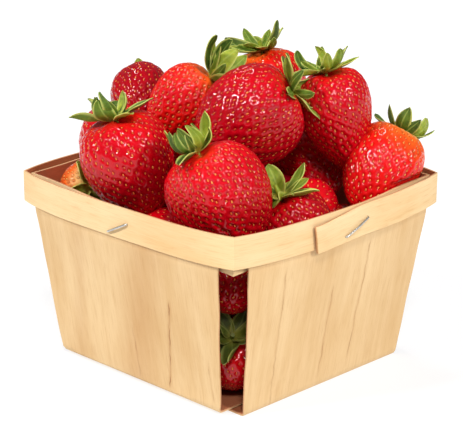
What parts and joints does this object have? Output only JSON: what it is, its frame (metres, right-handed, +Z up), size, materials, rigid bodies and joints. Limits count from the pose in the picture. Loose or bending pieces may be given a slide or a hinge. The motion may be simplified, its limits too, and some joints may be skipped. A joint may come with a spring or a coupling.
{
  "type": "punnet of strawberries",
  "caption": "Square basket of folded wood veneer with a stapled band round its top, heaped with whole fresh strawberries.",
  "frame": {"origin": "centre of the basket's underside, on the surface that it stands on", "axes": "+Z up; the sides face along X and Y; the outer band's lapped end is on the +X side"},
  "size_m": [0.1495, 0.1414, 0.1355],
  "materials": {
    "panel_wood": "bare sliced poplar veneer, straight grain up the sides",
    "band_wood": "bare sliced poplar veneer, straight grain along the band",
    "staple_wire": "galvanised wire",
    "strawberry": "ripe strawberry skin with a natural shine; green leaves"
  },
  "bodies": {
    "root": {"strip_under": "panel_wood", "strip_over": "panel_wood", "rim_outer": "band_wood", "rim_inner": "band_wood", "staple_front": "staple_wire", "staple_right": "staple_wire", "staple_back": "staple_wire", "staple_left": "staple_wire", "strawberry_heap": "strawberry"}
  },
  "joints": []
}
